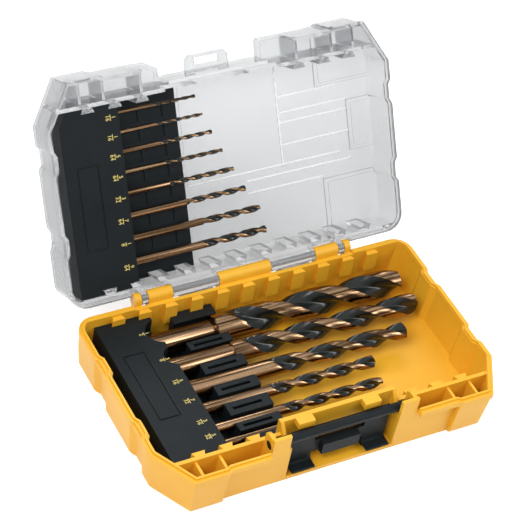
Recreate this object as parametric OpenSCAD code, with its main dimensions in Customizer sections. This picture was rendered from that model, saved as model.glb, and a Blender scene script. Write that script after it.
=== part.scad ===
// Drill bit case. A moulded tray with a clear lid hinged along its back edge, a swing-up latch at
// the front, two bit racks keyed into rows of teeth in the walls, and fourteen twist drills.
// X runs along the hinge to the right, Y from the front to the hinge, Z up.
// The origin is at the middle of the tray's underside. The lid is drawn open on its stop.

/* [Case] */
// Length of the case along the hinge
case_l = 162; // [154:1:180]
// Width of the case from front to back, without the hinge
case_w = 96.4; // [94:0.2:104]
// Height of the tray up to the shoulder that the lid lands on
tray_h = 21.6; // [21:0.1:24]
// Wall of the tray
tray_wall = 2.4; // [2:0.1:2.8]
// Wall of the lid
lid_wall = 1.8; // [1.6:0.05:2]
// Thickness of the tray's floor
floor_t = 2; // [1.6:0.1:2.6]
// How far the tray's walls lean in from the band to the underside
tray_draft = 1.9; // [1:0.1:2]
// How far the middle of the front leans in
front_draft = 0.8; // [0.4:0.1:1]
// Thickness of the lid's roof
roof_t = 1.5; // [1.2:0.1:2]
// Radius of the two back corners
corner_r = 8; // [6:0.5:12]
// Front corner cut, measured along the front
chamfer_x = 11; // [8:0.5:14]
// Front corner cut, measured along the side
chamfer_y = 19.3; // [16:0.1:22]
// How far the middle of the front is set back between the corner blocks
front_set = 1; // [0.6:0.1:1.2]
// Distance of the front set-back's ends from the case's middle
front_set_x = 55; // [50:0.5:58]

/* [Side grooves] */
// Middle of the rear groove, from the case's middle
groove_back_y = 20.7; // [18:0.1:24]
// Middle of the front groove, from the case's middle
groove_front_y = -15; // [-18:0.1:-12]
// Width of a groove at the outside
groove_w = 11; // [8:0.5:12]
// Width of a groove at its bottom
groove_bottom_w = 6.6; // [4:0.2:7]
// Depth of a groove
groove_d = 1.3; // [0.8:0.1:1.6]
// How much further a groove stands into the tray than its depth outside
groove_inner = 0.5; // [0.3:0.1:0.7]
// How much deeper a groove is below the band
groove_more = 0.6; // [0.3:0.1:0.8]

/* [Rim] */
// Height of the lip that stands up inside the tray's shoulder
lip_h = 0.8; // [0.5:0.1:1.2]
// Distance of the lip from the outside
lip_in = 1.4; // [1.2:0.1:1.6]
// Height of the thicker band round each rim
band_h = 3; // [2:0.2:4]
// How far the band stands out from the wall below it
band_out = 0.45; // [0.2:0.05:0.6]
// Gap between the closed lid and the tray
rim_gap = 0.1; // [0.05:0.05:0.2]

/* [Front pockets] */
// Depth of the front pockets, from the outside to the inner front wall
front_pocket_d = 10.9; // [10.4:0.1:11.4]
// Thickness of the inner front wall
inner_front_t = 1.7; // [1.5:0.1:2.2]
// How far the raised wall behind the latch stands back from the inner front wall
latch_jog = 2.1; // [1.9:0.1:2.3]
// Height of the raised wall behind the latch above the shoulder
bay_rise = 5.2; // [4.4:0.1:5.6]
// Half width of the latch's bay
bay_half = 25.6; // [25.2:0.1:25.8]
// Thickness of the bay's walls
bay_wall = 1.6; // [1.4:0.1:1.9]
// Distance of each lug on the raised wall from the case's middle
lug_x = 15.6; // [14:0.1:17]
// Width of a lug
lug_w = 7.6; // [6:0.1:8]
// Reach of a lug from the raised wall
lug_d = 3.6; // [3:0.1:3.7]
// Thickness of a lug
lug_t = 3; // [2:0.1:3.2]
// Distance of the first pocket rib from the case's middle
pocket_rib_1_x = 54; // [50:0.5:56]
// Distance of the second pocket rib from the case's middle
pocket_rib_2_x = 64.7; // [62:0.1:66]
// Thickness of a pocket rib
pocket_rib_t = 1.2; // [1:0.1:1.6]

/* [Teeth] */
// Spacing of the teeth along the walls
tooth_pitch = 12.4; // [11.5:0.1:13.5]
// Reach of a tooth from its wall
tooth_d = 2.2; // [1.8:0.1:2.4]
// Width of a tooth at its root
tooth_root_w = 4.2; // [3.6:0.1:4.6]
// Width of a tooth at its tip
tooth_tip_w = 6; // [5:0.1:6.4]
// Height of a tooth
tooth_h = 10; // [8:0.5:11]
// Clearance between a tooth and the notch in a rack
tooth_clear = 0.2; // [0.1:0.05:0.3]

/* [Hinge] */
// Distance of the hinge pin behind the case's outside
hinge_back = 1.8; // [1.6:0.1:2]
// Height of the hinge pin above the tray's shoulder
hinge_rise = 1.3; // [1.1:0.1:1.5]
// Depth of the hinge's recess in both back walls
hinge_set = 1.5; // [1.4:0.1:1.6]
// Radius of a knuckle
knuckle_r = 2.9; // [2.6:0.05:3]
// Diameter of the hinge pin
pin_d = 2; // [1.6:0.1:2.4]
// Radial play of the knuckles on the pin
pin_play = 0.05; // [0.02:0.01:0.08]
// Half length of the tray's middle knuckle
knuckle_mid_x = 12.7; // [11:0.1:14]
// Length of each long lid knuckle
knuckle_lid_l = 22.1; // [20:0.1:23]
// Length of each outer tray knuckle
knuckle_tray_l = 11.7; // [10:0.1:12]
// Length of each short lid knuckle
knuckle_short_l = 3; // [2.6:0.1:3.4]
// Length of each end knuckle of the tray
knuckle_end_l = 3.1; // [2.6:0.1:3.4]
// Gap between neighbouring knuckles
knuckle_gap = 0.3; // [0.2:0.05:0.4]
// Angle of the open lid from closed
lid_open = 120.5; // [110:0.5:124]

/* [Latch] */
// Place of the latch's middle along the front
latch_x = 1; // [0.4:0.1:1.6]
// Width of the latch plate
latch_w = 46.4; // [44:0.2:48]
// Thickness of the latch plate
latch_t = 1.6; // [1.4:0.1:1.8]
// Gap between the hanging latch and the floor of its bay, which sets the latch's length and the lid's height
latch_gap = 0.6; // [0.4:0.1:1]
// Diameter of the latch's axle
axle_d = 4; // [3.6:0.1:4.2]
// Radial play of the axle in its ears
axle_play = 0.05; // [0.02:0.01:0.08]
// Depth of the axle behind the case's front
axle_in = 7; // [6.9:0.1:7.2]
// Height of the axle above the tray's shoulder
axle_rise = 1; // [0.8:0.1:1.4]
// Distance of each ear's outside from the case's middle
ear_x = 34.1; // [33.5:0.1:35]
// Thickness of each ear
ear_t = 1.8; // [1.6:0.1:2.6]
// Radius of each ear round the axle
ear_r = 5.2; // [4:0.1:5.4]
// Distance of each front tower's inner end from the case's middle
tower_x = 26.1; // [25.9:0.1:26.6]
// Height of the towers above the shoulder
tower_rise = 7; // [5.6:0.1:7.2]
// Thickness of the towers
tower_t = 1.5; // [1.3:0.1:1.6]
// Half width of the recess for the latch in the lid
lid_recess_x = 23.6; // [23.4:0.1:24.4]
// Half width of the room for the towers under the lid's front blocks
lid_notch_x = 36.2; // [35.4:0.1:38]
// Thickness of the lid's blocks over that room
lid_notch_t = 3.7; // [3.2:0.1:5]
// Width of the hasp on the lid
hasp_w = 20.4; // [18:0.2:21]
// Thickness of the hasp
hasp_t = 1.8; // [1.5:0.1:2]
// Reach of the hasp from the recess wall
hasp_reach = 6.2; // [5.8:0.1:6.6]
// Depth of the hasp below the lid's top
hasp_drop = 1; // [0.5:0.1:1.4]
// Width of the slot in the hasp
hasp_slot_w = 11.6; // [11:0.1:13]
// Depth of the slot in the hasp
hasp_slot_d = 3.2; // [3:0.1:3.4]

/* [Lower rack] */
// Length of the label block
rack_block_l = 25; // [24:0.5:27]
// Height of the label block's top above the floor
rack_block_h = 16.1; // [15.5:0.1:17]
// Gap between the label block and the side wall
rack_side_gap = 6.2; // [5:0.1:7]
// Length of the clip bed beyond the label block
rack_bed_l = 30; // [26:0.5:32]
// Height of the clip posts above the floor
post_h = 12.6; // [12:0.1:13.5]
// Length of the clip posts
post_l = 20; // [16:0.5:21]
// Height of the bits' axes above the floor
lower_axis_h = 9.5; // [9.2:0.1:10]
// Depth of a socket in the label block
socket_l = 9.5; // [8:0.5:11]
// Depth of the deeper socket of the largest bit
socket_deep_l = 21.5; // [18:0.5:22]
// Wall of the racks
rack_wall = 1.8; // [1.5:0.1:2.2]
// Radial clearance of a bit in its socket
socket_play = 0.08; // [0.05:0.01:0.1]

/* [Upper rack] */
// Length of the upper label block
upper_block_l = 26.8; // [25:0.2:28]
// Gap between the upper label block and the side wall
upper_side_gap = 4; // [3:0.1:5]
// Depth of the label block's face above the shoulder
upper_face_z = 1.6; // [1.3:0.1:2]
// Distance from the label face to the bed
upper_bed_z = 9; // [8.5:0.1:9.2]
// Thickness of the upper rack's bed
upper_bed_t = 2; // [1.6:0.1:2.4]
// Length of the upper bed beyond the label block
upper_bed_l = 30; // [26:0.5:32]
// Distance from the label face to the bits' axes
upper_axis_z = 6; // [5.8:0.1:6.2]

/* [Drill bits] */
// Diameter of the 1/2 inch bit
bit_1_d = 12.7; // [12:0.1:13]
// Diameter of the 3/8 inch bit
bit_2_d = 9.53; // [9:0.01:10]
// Diameter of the 5/16 inch bit
bit_3_d = 7.94; // [7:0.01:8.2]
// Diameter of the 7/32 inch bit
bit_4_d = 5.56; // [5:0.01:6]
// Diameter of the 3/16 inch bit
bit_5_d = 4.76; // [4.4:0.01:5]
// Diameter of the 5/32 inch bit
bit_6_d = 3.97; // [3.6:0.01:4.2]
// Ratio of the flutes' pitch to the bit's diameter
flute_pitch = 4.7; // [4:0.1:6]
// Angle of the point
point_angle = 118; // [110:1:135]

/* [Hidden] */
$fn = 48;
far = 300;

yellow = "#eeb544";
black = "#24282a";
clear = "#dfe3e6a0";
steel = "#b9bcc0";
bronze = "#a87c50";

half_l = case_l / 2;
half_w = case_w / 2;
// heights
lid_z0 = tray_h + rim_gap;
lip_top = tray_h + lip_h;
rabbet_in = lip_in - 0.25;
axle_z = tray_h + axle_rise;
axle_r = axle_d / 2;
axle_y = half_w - axle_in;
inner_front_y = half_w - front_pocket_d;
lip_t = 1.6;
latch_reach = axle_z - floor_t - latch_gap;
tab_inner = latch_reach - lip_t;
fit_gap = 0.3;
lid_top = axle_z + tab_inner - fit_gap;
rabbet_z = lip_top + 0.2;
inner_top = tray_h - 0.2;
lid_inner_z = lip_top + 0.1;
roof_drop = 1;
roof_under = lid_top - roof_drop - roof_t;
wall_in = band_out + 0.2;
lid_cavity = wall_in + 1.4;
draft_top = tray_h - band_h;
draft_tilt = atan(tray_draft / draft_top);
function draft_in(z) = band_out + tray_draft * (1 - z / draft_top);
tower_out = half_w - front_set - lid_cavity - fit_gap;
function middle_y(z) = -tower_out + front_draft * (1 - z / draft_top);
cavity_in = tray_wall + 0.2;
corner_k = (half_l + half_w - 2 * corner_r) / sqrt(2) + corner_r;
// walls across the case
hinge_y = half_w + hinge_back;
hinge_z = tray_h + hinge_rise;
back_out = half_w - hinge_set;
back_in = half_w - 3.2;
front_in = -inner_front_y + inner_front_t;
jog_front = -inner_front_y + latch_jog;
jog_back = jog_front + 2;
bay_top = tray_h + bay_rise;
bay_x0 = latch_x - bay_half;
bay_x1 = latch_x + bay_half;
recess_wall_y = -(axle_y - axle_d / 2) + 0.3;
recess_wall_t = lid_wall;
// hinge stations from the middle outwards
station = [0, knuckle_mid_x, knuckle_mid_x + knuckle_lid_l,
    knuckle_mid_x + knuckle_lid_l + knuckle_tray_l,
    knuckle_mid_x + knuckle_lid_l + knuckle_tray_l + knuckle_short_l,
    knuckle_mid_x + knuckle_lid_l + knuckle_tray_l + knuckle_short_l + knuckle_end_l];
hinge_half = station[5];
hinge_zone = hinge_half + 0.6;
// latch
plate_front = -axle_y + 1.3;
tab_w = 11;
block_w = 17.6;
block_out = 2.7;
lip_out = 4.9;
hasp_z1 = lid_top - hasp_drop;
hasp_z0 = hasp_z1 - hasp_t;
hasp_from_axle = hasp_z0 - axle_z;
block_end = hasp_from_axle - fit_gap;
block_h = 6;
nose_end = hasp_z1 - axle_z + fit_gap;
slot_from_axle = axle_r + 2.7;
latch_slot = [23.4, 3.4];
// lower rack
rack_left = -half_l + tray_wall + rack_side_gap;
rack_mouth = rack_left + rack_block_l;
rack_end = rack_mouth + rack_bed_l;
rack_back = back_in - tooth_clear;
rack_front = front_in + tooth_clear;
rack_z0 = floor_t + 0.1;
rack_top = floor_t + rack_block_h;
lower_axis_z = floor_t + lower_axis_h;
rack_w = rack_back - rack_front;
// Places of the bits across the racks, as shares of the racks' width
lower_place = [0.848, 0.6646, 0.4963, 0.3541, 0.2145, 0.1097];
upper_place = [0.8828, 0.7556, 0.6297, 0.5087, 0.394, 0.2818, 0.1771, 0.0723];
lower_y = [for (place = lower_place) rack_front + place * rack_w];
lower_d = [bit_1_d, bit_2_d, bit_3_d, bit_4_d, bit_5_d, bit_6_d];
lower_shank = [bit_2_d, 8.6, bit_3_d, bit_4_d, bit_5_d, bit_6_d];
lower_len = [142, 130, 116.5, 94, 91.5, 79.5];
lower_plain = [61, 47, 50.5, 44.5, 44.5, 40];
lower_step = [47, 36.5, 0, 0, 0, 0];
// upper rack
upper_left = -half_l + lid_wall + upper_side_gap;
upper_mouth = upper_left + upper_block_l;
upper_end = upper_mouth + upper_bed_l;
upper_face = tray_h + upper_face_z;
upper_bed = upper_face + upper_bed_z;
upper_axis = upper_face + upper_axis_z;
upper_y = [for (place = upper_place) rack_front + place * rack_w];
upper_d = [3.57, 3.18, 2.78, 2.38, 1.98, 1.98, 1.59, 1.59];
upper_len = [74.5, 72.5, 66.5, 62, 57.5, 53.5, 50, 47.5];
upper_plain = [42.5, 43.5, 37, 30.5, 29.5, 28.5, 27, 26.5];
bit_gap = 0.3;

// ---- outline of the case, at a distance d inside its outside ----
chamfer_len = sqrt(chamfer_x * chamfer_x + chamfer_y * chamfer_y);
chamfer_n = [chamfer_y / chamfer_len, -chamfer_x / chamfer_len];
chamfer_k = chamfer_n.x * half_l + chamfer_n.y * (-half_w + chamfer_y);
function chamfer_side_y(d) = (chamfer_k - d - chamfer_n.x * (half_l - d)) / chamfer_n.y;
function chamfer_front_x(d) = (chamfer_k - d - chamfer_n.y * (-half_w + d)) / chamfer_n.x;
function groove_pts(x, y) = [
    [x, y - groove_w / 2], [x - groove_d, y - groove_bottom_w / 2],
    [x - groove_d, y + groove_bottom_w / 2], [x, y + groove_w / 2]];
function corner_pts(d) = [for (a = [0 : 15 : 90])
    [half_l - corner_r + (corner_r - d) * cos(a), half_w - corner_r + (corner_r - d) * sin(a)]];
function right_pts(d, grooved) = concat(
    [[front_set_x - 1.4, -half_w + front_set + d], [front_set_x, -half_w + d],
     [chamfer_front_x(d), -half_w + d], [half_l - d, chamfer_side_y(d)]],
    grooved ? groove_pts(half_l - d, groove_front_y) : [],
    grooved ? groove_pts(half_l - d, groove_back_y) : [],
    corner_pts(d));
function outline(d, grooved) = let (r = right_pts(d, grooved), n = len(r))
    concat(r, [for (i = [n - 1 : -1 : 0]) [-r[i].x, r[i].y]]);

// A slab of the case between two heights, its outline d inside the outside
module slab(z0, z1, d, grooved = true) {
    translate([0, 0, z0]) linear_extrude(z1 - z0) polygon(outline(d, grooved));
}

// Cuts the edge of the case all round along a slope, given as distance inside the outside and height
function edge_lines(with_back) = concat(with_back ? [[90, half_w]] : [],
    [[-90, half_w], [0, half_l], [180, half_l], [45, corner_k], [135, corner_k],
    [atan2(chamfer_n.y, chamfer_n.x), chamfer_k], [180 - atan2(chamfer_n.y, chamfer_n.x), chamfer_k]]);
module edge_cut(d0, z0, d1, z1, with_back = true) {
    for (e = edge_lines(with_back))
        rotate([0, 0, e[0]]) rotate([90, 0, 0]) translate([0, 0, -far]) linear_extrude(2 * far)
            polygon([[e[1] - d0, z0], [e[1] - d1, z1], [e[1] + 9, z1], [e[1] + 9, z0]]);
}

// A box from its two corners
module box(a, b) {
    translate([min(a.x, b.x), min(a.y, b.y), min(a.z, b.z)])
        cube([abs(b.x - a.x), abs(b.y - a.y), abs(b.z - a.z)]);
}

// A bar along X with its section given in Y and Z
module bar_x(x0, x1, pts) {
    translate([x0, 0, 0]) rotate([90, 0, 90]) linear_extrude(x1 - x0) polygon(pts);
}

// A round bar along X
module rod_x(x0, x1, y, z, r) {
    translate([x0, y, z]) rotate([0, 90, 0]) cylinder(h = x1 - x0, r = r);
}

// ---- teeth ----
// Places of the teeth that lie within the given half length
function tooth_places(limit) = [for (k = [-7 : 7]) if (abs(k * tooth_pitch) < limit) k * tooth_pitch];
// One tooth, or the notch for one, growing from a wall at y towards side (+1 or -1)
module tooth(x, y, side, z0, z1, extra) {
    translate([x, y, z0]) linear_extrude(z1 - z0) polygon([
        [-tooth_root_w / 2 - extra, -side * (0.4 + extra)], [tooth_root_w / 2 + extra, -side * (0.4 + extra)],
        [tooth_root_w / 2 + extra, 0], [tooth_tip_w / 2 + extra, side * (tooth_d + extra)],
        [-tooth_tip_w / 2 - extra, side * (tooth_d + extra)], [-tooth_root_w / 2 - extra, 0]]);
}
back_teeth = tooth_places(half_l - corner_r);
beside_bay = [for (x = tooth_places(chamfer_front_x(0) - tooth_tip_w / 2))
    if (abs(x - latch_x) > bay_half + 3) x];
behind_bay = [-tooth_pitch, tooth_pitch];

// ---- hinge ----
// Section of a knuckle's web, reaching from a back wall to the pin
web_low = 9;
web_high = 8;
web_out = 1.6;
module tray_knuckle(x0, x1) {
    rod_x(x0, x1, hinge_y, hinge_z, knuckle_r);
    bar_x(x0, x1, [[back_out - 0.5, hinge_z - web_low], [hinge_y + knuckle_r - 0.3, hinge_z - web_out],
        [hinge_y + knuckle_r - 0.05, hinge_z], [back_out + fit_gap, hinge_z],
        [back_out + fit_gap, tray_h], [back_out - 0.5, tray_h]]);
}
module lid_knuckle(x0, x1) {
    rod_x(x0, x1, hinge_y, hinge_z, knuckle_r);
    bar_x(x0, x1, [[back_out - 0.5, hinge_z + web_high], [hinge_y + knuckle_r - 0.3, hinge_z + web_out],
        [hinge_y + knuckle_r - 0.05, hinge_z], [back_out - 0.5, hinge_z]]);
}
// Lug that meets the tray's back wall when the lid is fully open
stop_reach = hinge_y - back_out - 0.1;
stop_drop = 2.4;
stop_y = -stop_reach * cos(lid_open) + stop_drop * sin(lid_open);
stop_z = -stop_reach * sin(lid_open) - stop_drop * cos(lid_open);
module stop_lug(x0, x1) {
    bar_x(x0, x1, [[hinge_y, hinge_z], [hinge_y + stop_y * 0.35, hinge_z + stop_z - 0.7],
        [hinge_y + stop_y, hinge_z + stop_z], [hinge_y + knuckle_r - 0.1, hinge_z + 0.4]]);
}
module both_sides(i, make_lid = false) {
    x0 = station[i] + knuckle_gap / 2;
    x1 = station[i + 1] - (i == 4 ? 0 : knuckle_gap / 2);
    for (s = [-1, 1]) {
        a = s > 0 ? x0 : -x1;
        b = s > 0 ? x1 : -x0;
        if (make_lid) lid_knuckle(a, b);
        else tray_knuckle(a, b);
    }
}

// ---- tray ----
// The grooves as bars that lean with the tray's walls, the given distance inside the outside
module groove_bars(inset, depth, wider) {
    flare = (groove_w - groove_bottom_w) / 2 / groove_d;
    for (s = [0, 1], y = [groove_back_y, groove_front_y])
        mirror([s, 0, 0]) translate([half_l - band_out - inset, y, draft_top]) rotate([0, draft_tilt, 0])
            translate([0, 0, -far]) linear_extrude(far + band_h + 2) polygon([
                [-depth, -groove_bottom_w / 2 - wider], [2, -groove_w / 2 - wider - 2 * flare],
                [2, groove_w / 2 + wider + 2 * flare], [-depth, groove_bottom_w / 2 + wider]]);
}

// Cuts the lean of the walls, the given distance inside the outside
module draft_cuts(inset) {
    top = draft_top + 1;
    edge_cut(draft_in(-1) + inset, -1, draft_in(top) + inset, top, false);
}

module tray_outside() {
    top = draft_top + 1;
    difference() {
        slab(0, tray_h - 1, band_out, false);
        draft_cuts(0);
        // the foot's rounded edge
        edge_cut(draft_in(0) + 1.8, -1, draft_in(0) - 0.2, 1, false);
        // the middle of the front stands back under the band
        bar_x(-front_set_x + 0.7, front_set_x - 0.7, [
            [middle_y(-1), -1], [middle_y(top), top], [-half_w - 9, top], [-half_w - 9, -1]]);
        difference() {
            groove_bars(0, groove_d + groove_more, 0);
            box([-far, -far, draft_top + 0.5], [far, far, far]);
        }
    }
    slab(draft_top, tray_h, 0);
    slab(tray_h - 0.5, lip_top, lip_in);
}

module tray_inside() {
    step_z = tray_h - 1.4;
    intersection() {
        difference() {
            slab(floor_t, lip_top + 1, cavity_in, false);
            draft_cuts(cavity_in - band_out);
            bar_x(-front_set_x + 1.5, front_set_x - 1.5, [
                [middle_y(-1) + tray_wall - 0.4, -1], [middle_y(draft_top) + tray_wall - 0.4, draft_top - 3],
                [-half_w + front_set + cavity_in, step_z], [-half_w - 9, step_z], [-half_w - 9, -1]]);
            groove_bars(cavity_in - band_out, groove_d + groove_inner, 1);
        }
        union() {
            // the hold, behind the inner front wall
            box([-far, front_in, floor_t], [far, back_in, far]);
            // the front pockets and the latch's bay
            box([-far, -far, floor_t], [far, -inner_front_y, far]);
        }
    }
    // the bay reaches back to the raised wall
    box([bay_x0, -inner_front_y - 2, floor_t], [bay_x1, jog_front, far]);
    // inner walls stop a little below the lip
    intersection() {
        slab(inner_top, lip_top + 1, tray_wall);
        box([-far, -far, inner_top], [far, back_in, far]);
    }
    // the hinge stands behind the wall, which has no lip there
    box([-hinge_zone, back_out, -1], [hinge_zone, far, far]);
    box([-hinge_zone, back_in - 1, tray_h], [hinge_zone, far, far]);
    // the front wall is open in front of the latch
    box([-tower_x, -far, floor_t], [tower_x, -inner_front_y, far]);
    // no lip and no band at the towers
    box([-ear_x - 1, -far, tray_h], [ear_x + 1, -inner_front_y - 0.1, far]);
    box([-ear_x - 1, -far, draft_top - 0.1], [ear_x + 1, -tower_out, far]);
}

// Ribs across the front pockets, and the walls under the ears
module tray_cross_walls() {
    intersection() {
        for (s = [-1, 1]) {
            for (x = [pocket_rib_1_x, pocket_rib_2_x])
                box([s * x - pocket_rib_t / 2, -half_w, floor_t - 0.2],
                    [s * x + pocket_rib_t / 2, -inner_front_y + 0.2, tray_h - 1.6]);
            box([s * (ear_x - ear_t), -tower_out + 0.5, floor_t - 0.2],
                [s * ear_x, -inner_front_y + 0.5, inner_top]);
        }
        tray_outside();
    }
}

// Walls round the latch's bay: low in front of the axle, raised behind it, with two lugs
module bay_walls() {
    low = axle_z - axle_r - 0.5;
    front = -tower_out + 0.5;
    box([bay_x0 - bay_wall, jog_front, floor_t - 0.2], [bay_x1 + bay_wall, jog_back, bay_top]);
    for (x = [bay_x0 - bay_wall, bay_x1])
        bar_x(x, x + bay_wall, [[front, floor_t - 0.2], [front, low], [-axle_y + axle_r + 0.3, low],
            [-axle_y + axle_r + 0.3, axle_z - 0.8], [jog_front, bay_top], [jog_front + 0.5, bay_top],
            [jog_front + 0.5, floor_t - 0.2]]);
    for (s = [-1, 1])
        box([s * lug_x - lug_w / 2, jog_front - lug_d, bay_top - lug_t],
            [s * lug_x + lug_w / 2, jog_front + 0.5, bay_top]);
}

module towers_and_ears() {
    for (s = [-1, 1]) {
        xe = s * (ear_x - ear_t);
        box([s * tower_x, -tower_out, draft_top - 0.5],
            [s * ear_x, -tower_out + tower_t, tray_h + tower_rise]);
        intersection() {
            rod_x(min(xe, s * ear_x), max(xe, s * ear_x), -axle_y, axle_z, ear_r);
            box([-far, -tower_out + 0.2, 0], [far, -inner_front_y - fit_gap, far]);
        }
    }
}

module tray_teeth() {
    top = inner_top - 0.2;
    for (x = back_teeth)
        tooth(x, back_in, -1, top - tooth_h, top, 0);
    for (x = beside_bay)
        tooth(x, front_in, 1, top - tooth_h, top, 0);
}

module base_tray() {
    color(yellow) difference() {
        union() {
            difference() {
                tray_outside();
                tray_inside();
            }
            tray_cross_walls();
            bay_walls();
            towers_and_ears();
            tray_teeth();
            tray_knuckle(-station[1] + knuckle_gap / 2, station[1] - knuckle_gap / 2);
            both_sides(2);
            both_sides(4);
        }
        rod_x(-far, far, hinge_y, hinge_z, pin_d / 2 + pin_play);
        rod_x(-ear_x - 0.5, ear_x + 0.5, -axle_y, axle_z, axle_r + axle_play);
    }
}

// ---- lid, drawn closed and then swung open ----
module opened() {
    translate([0, hinge_y, hinge_z]) rotate([-lid_open, 0, 0])
        translate([0, -hinge_y, -hinge_z]) children();
}

bumper_x = [52.6, 67.5];
bumper_y = [-19.5, -10.8, 12.2, 22.7];
window = [[-14, -33], [32.5, 11.5]];
window_d = 0.4;

module lid_outside() {
    slab(lid_z0, lid_z0 + band_h, 0);
    difference() {
        slab(lid_z0 + 1, lid_top, wall_in);
        edge_cut(wall_in - 0.2, lid_top - 1, 2.2, lid_top + 0.4);
    }
}

// The roof is lower between the corner and side bumpers
module roof_drop_cut(z0, z1) {
    box([-bumper_x[0], -far, z0], [bumper_x[0], far, z1]);
    box([-bumper_x[1], bumper_y[0], z0], [bumper_x[1], bumper_y[3], z1]);
    box([-far, bumper_y[0], z0], [far, bumper_y[1], z1]);
    box([-far, bumper_y[2], z0], [far, bumper_y[3], z1]);
}

// Plan of the recess for the latch, its left front corner cut off, the given distance outside it
function recess_plan(e) = let (xl = latch_x - lid_recess_x - e, xr = latch_x + lid_recess_x + e,
    y0 = -half_w + front_set) [
    [xl, recess_wall_y + e], [xl, y0 + 4.4 + 0.56 * e], [xl - 7 + 0.65 * e, y0 + 0.2 + 0.86 * e],
    [xl - 7 + 0.65 * e, -far], [xr + 1.6, -far], [xr + 1.6, y0 + 0.2], [xr, y0 + 1.6],
    [xr, recess_wall_y + e]];

module lid_inside() {
    intersection() {
        slab(lid_z0 - 1, roof_under, lid_cavity);
        difference() {
            union() {
                box([-far, front_in, 0], [far, back_in, far]);
                box([-far, -far, 0], [far, -inner_front_y, far]);
            }
            // the walls round the latch's recess
            linear_extrude(far) polygon(recess_plan(lid_wall));
        }
    }
    // inside the bumpers
    intersection() {
        slab(roof_under - 1, lid_top - roof_t, lid_cavity + 0.6);
        difference() {
            box([-far, front_in, 0], [far, back_in, far]);
            box([-bumper_x[0] - roof_t, -far, 0], [bumper_x[0] + roof_t, far, far]);
            box([-bumper_x[1] - roof_t, bumper_y[0] - roof_t, 0],
                [bumper_x[1] + roof_t, bumper_y[3] + roof_t, far]);
            box([-far, bumper_y[0] - roof_t, 0], [far, bumper_y[1] + roof_t, far]);
            box([-far, bumper_y[2] - roof_t, 0], [far, bumper_y[3] + roof_t, far]);
        }
    }
    // the rim's rabbet over the tray's lip, and the inner walls' lower edge
    slab(lid_z0 - 1, rabbet_z, rabbet_in);
}

module lid_recess_cut() {
    // the bay that the raised latch lies in
    linear_extrude(far) polygon(recess_plan(0));
    // room for the towers and ears under the front blocks
    for (s = [-1, 1])
        box([s * lid_notch_x, -far, 0], [latch_x + s * lid_recess_x, -inner_front_y, lid_top - lid_notch_t]);
    // room for the raised wall behind the latch
    box([bay_x0 - bay_wall - fit_gap, recess_wall_y - 1, 0],
        [bay_x1 + bay_wall + fit_gap, jog_back + fit_gap, bay_top + fit_gap]);
    // room for the hinge
    box([-hinge_zone, back_out, 0], [hinge_zone, far, far]);
}

module lid_ribs() {
    for (s = [-1, 1]) {
        for (x = [pocket_rib_1_x, pocket_rib_2_x])
            box([s * x - pocket_rib_t / 2, -half_w + lid_wall - 0.3, lid_inner_z + 1],
                [s * x + pocket_rib_t / 2, -inner_front_y + 0.2, roof_under + 0.2]);
        box([s * lid_notch_x, -half_w + front_set + lid_wall - 0.3, lid_inner_z + 1],
            [s * (lid_notch_x + pocket_rib_t), -inner_front_y + 0.2, roof_under + 0.2]);
    }
}

module hasp() {
    corner = 2.8;
    rim = 1.4;
    difference() {
        box([latch_x - hasp_w / 2, recess_wall_y + 0.5, hasp_z0],
            [latch_x + hasp_w / 2, recess_wall_y - hasp_reach, hasp_z1]);
        box([latch_x - hasp_slot_w / 2, recess_wall_y - hasp_reach + rim, 0],
            [latch_x + hasp_slot_w / 2, recess_wall_y - hasp_reach + rim + hasp_slot_d, far]);
        for (s = [-1, 1])
            translate([latch_x + s * hasp_w / 2, recess_wall_y - hasp_reach, hasp_z0 - 1])
                rotate([0, 0, 45]) cube([corner, corner, 4 * hasp_t], center = true);
    }
}

module lid_teeth() {
    z0 = lid_inner_z + 0.2;
    for (x = back_teeth)
        tooth(x, back_in, -1, z0, z0 + tooth_h + 2, 0);
    for (x = beside_bay)
        tooth(x, front_in, 1, z0, z0 + tooth_h + 2, 0);
    for (x = behind_bay)
        tooth(x, recess_wall_y + recess_wall_t, 1, bay_top + 0.5, z0 + tooth_h + 2, 0);
}

module lid_shell() {
    color(clear) opened() difference() {
        union() {
            difference() {
                lid_outside();
                lid_inside();
                lid_recess_cut();
                roof_drop_cut(lid_top - roof_drop, far);
                box([window[0].x, window[0].y, lid_top - roof_drop - window_d],
                    [window[1].x, window[1].y, far]);
            }
            lid_ribs();
            lid_teeth();
            hasp();
            both_sides(1, true);
            both_sides(3, true);
            for (s = [-1, 1]) {
                x0 = s > 0 ? station[1] + 3 : -station[2] + 3;
                stop_lug(x0, x0 + knuckle_lid_l - 6);
            }
        }
        rod_x(-far, far, hinge_y, hinge_z, pin_d / 2 + pin_play);
    }
}

module hinge_pin() {
    color(steel) rod_x(-hinge_half + 0.2, hinge_half - 0.2, hinge_y, hinge_z, pin_d / 2);
}

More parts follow.
